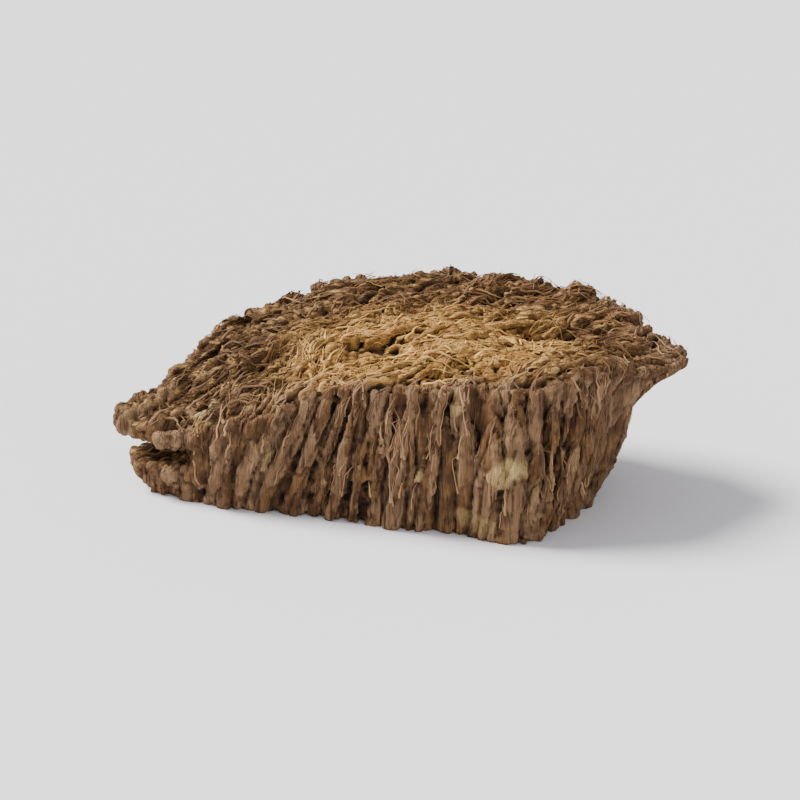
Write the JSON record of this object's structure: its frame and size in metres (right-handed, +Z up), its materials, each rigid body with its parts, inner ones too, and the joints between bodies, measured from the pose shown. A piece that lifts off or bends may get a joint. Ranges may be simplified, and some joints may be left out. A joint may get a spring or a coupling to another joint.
{
  "type": "dried burdock root slice",
  "caption": "Thick slice of dried burdock root lying on its cut face, with a fibrous golden cut face, a deeply wrinkled brown bark side, a pointed end and a split end.",
  "frame": {"origin": "middle of the slice's footprint, on the surface that its lower cut face rests on", "axes": "+Z up, along the root; +X along the slice's length, towards its pointed end; +Y towards its back, away from the side with the deepest wrinkles"},
  "size_m": [0.0142, 0.0082, 0.0046],
  "materials": {
    "dried_root": "matte, dry and fibrous: golden tan on the cut faces, grey brown on the wrinkled bark"
  },
  "bodies": {
    "root": {"root_slice": "dried_root"}
  },
  "joints": []
}
